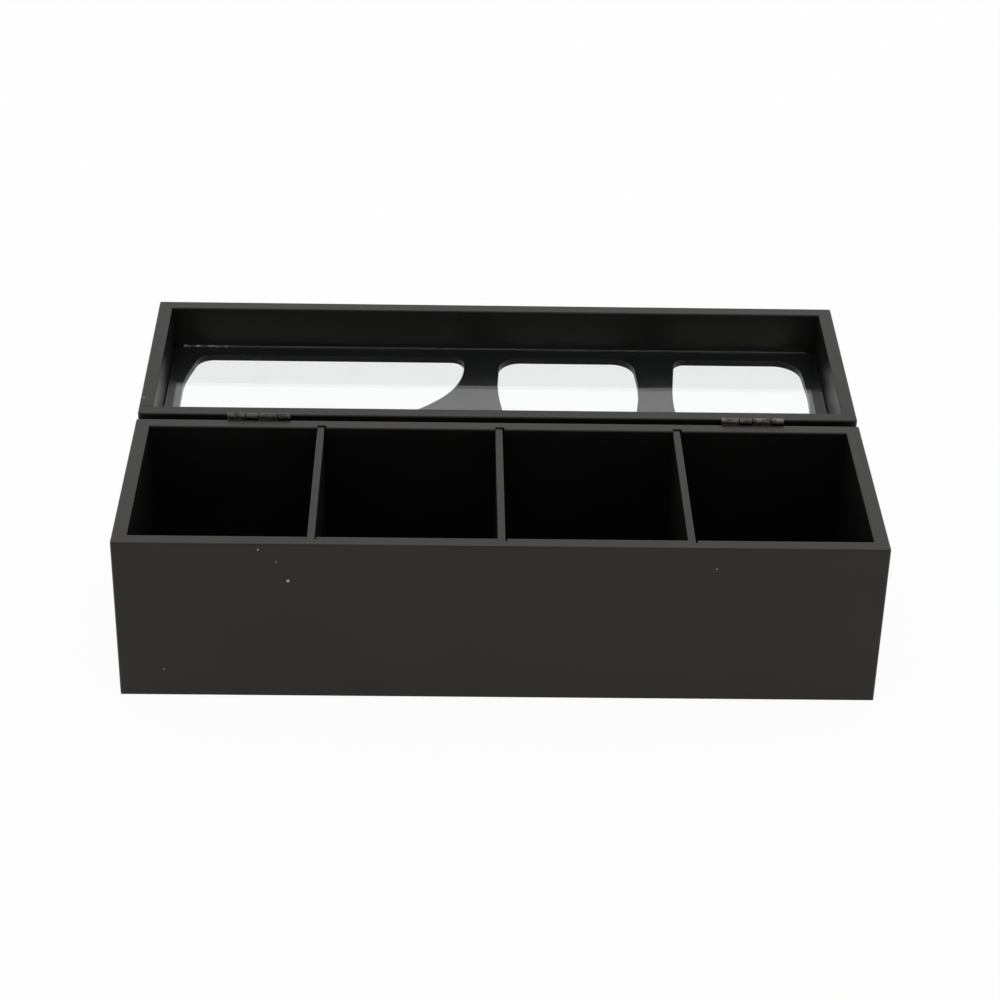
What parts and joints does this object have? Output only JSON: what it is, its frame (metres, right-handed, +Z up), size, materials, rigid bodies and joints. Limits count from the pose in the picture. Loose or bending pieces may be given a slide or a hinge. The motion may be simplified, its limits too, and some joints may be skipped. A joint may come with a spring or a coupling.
{
  "type": "tea bag organizer box",
  "caption": "Long low wooden storage box in black with compartments in one row, and a hinged lid whose rounded windows are closed by a glass pane.",
  "frame": {"origin": "centre of the box's underside, on the surface that it stands on", "axes": "+X along the width to the right as seen from the front, +Y to the hinged back, +Z up"},
  "size_m": [0.3, 0.1948, 0.0749],
  "materials": {
    "black_paint": "fibreboard with satin black paint",
    "black_metal": "blackened steel, satin",
    "clear_glass": "clear float glass, polished",
    "clear_glue": "clear hot-melt glue, glossy"
  },
  "bodies": {
    "box": {"front_wall": "black_paint", "back_wall": "black_paint", "left_wall": "black_paint", "right_wall": "black_paint", "bottom_panel": "black_paint", "divider_left": "black_paint", "divider_middle": "black_paint", "divider_right": "black_paint", "hinge_left_box_leaf": "black_metal", "hinge_right_box_leaf": "black_metal", "hinge_left_pin": "black_metal", "hinge_right_pin": "black_metal", "box_hinge_screws": "black_metal"},
    "lid": {"lid_front_wall": "black_paint", "lid_back_wall": "black_paint", "lid_left_wall": "black_paint", "lid_right_wall": "black_paint", "lid_window_panel": "black_paint", "lid_glass_pane": "clear_glass", "pane_glue": "clear_glue", "hinge_left_lid_leaf": "black_metal", "hinge_right_lid_leaf": "black_metal", "lid_hinge_screws": "black_metal"}
  },
  "joints": [
    {"name": "lid_hinge", "type": "hinge", "parent": "box", "child": "lid", "pos_m": [0, 0.04955, 0.0718], "axis": [1, 0, 0], "range_deg": [0, 178.1]}
  ]
}
